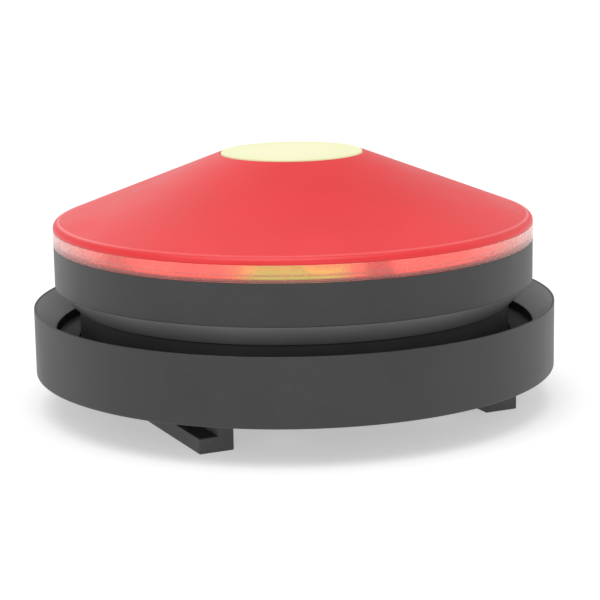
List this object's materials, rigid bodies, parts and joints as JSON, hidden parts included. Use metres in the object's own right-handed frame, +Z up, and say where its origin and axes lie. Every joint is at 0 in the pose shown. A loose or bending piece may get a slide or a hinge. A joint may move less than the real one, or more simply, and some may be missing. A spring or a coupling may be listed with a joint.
{
  "type": "road flare",
  "caption": "Puck-shaped LED road flare: a sprung light head with a red cone lens, clear band and lit top button, in a dark ring base on two dock rails.",
  "frame": {"origin": "on the ground under the centre of the round body", "axes": "+Z up along the light's axis; the two dock rails under the base run along Y, one on each side in X"},
  "size_m": [0.12, 0.12, 0.058],
  "materials": {
    "base_shell": "moulded, satin",
    "rail": "moulded, satin",
    "head_shell": "moulded, satin",
    "cap_plastic": "moulded, satin",
    "steel": "zinc plated",
    "magnet": "nickel plated",
    "spring_steel": "drawn wire",
    "rubber": "matt",
    "silicone": "matt",
    "inner_plastic": "moulded, matt",
    "cell_case": "printed sleeve, left plain",
    "contact": "nickel plated strip",
    "board": "solder mask",
    "red_emitter": "moulded lens",
    "amber_emitter": "moulded lens",
    "reflector": "metallised",
    "light_guide": "clear, frosted",
    "clear_band": "clear, lightly frosted",
    "red_lens": "translucent, satin",
    "lit_button": "translucent, lit"
  },
  "bodies": {
    "base": {"base_ring": "base_shell", "base_plate": "base_shell", "plate_screws": "steel", "rail_left": "rail", "rail_right": "rail", "rail_screws": "steel", "rail_magnets": "magnet", "neck_wiper": "rubber", "return_springs": "spring_steel"},
    "head": {"head_shell": "head_shell", "head_cup": "head_shell", "shoulder_screws": "steel", "battery_box": "inner_plastic", "battery_cells": "cell_case", "battery_contacts": "contact", "led_board": "board", "red_leds": "red_emitter", "amber_leds": "amber_emitter", "reflector": "reflector", "light_guide": "light_guide", "light_band": "clear_band", "lens_oring": "rubber", "cone_lens": "red_lens", "lens_screws": "steel", "switch_dome": "silicone"},
    "button": {"top_button": "lit_button", "button_seal": "rubber"},
    "cap": {"battery_cap": "cap_plastic", "cap_oring": "rubber"}
  },
  "joints": [
    {"name": "head_press", "type": "slide", "parent": "base", "child": "head", "axis": [0, 0, -1], "range_m": [0, 0.0038], "stiffness_N_per_m": 1500, "springref_m": -0.004, "deforming": ["return_springs"]},
    {"name": "button_press", "type": "slide", "parent": "head", "child": "button", "axis": [0, 0, -1], "range_m": [0, 0.0012], "stiffness_N_per_m": 400, "springref_m": -0.005, "deforming": ["switch_dome"]},
    {"name": "cap_turn", "type": "hinge", "parent": "head", "child": "cap", "pos_m": [0, 0, 0.0154], "axis": [0, 0, 1], "range_deg": [0, 30]}
  ]
}
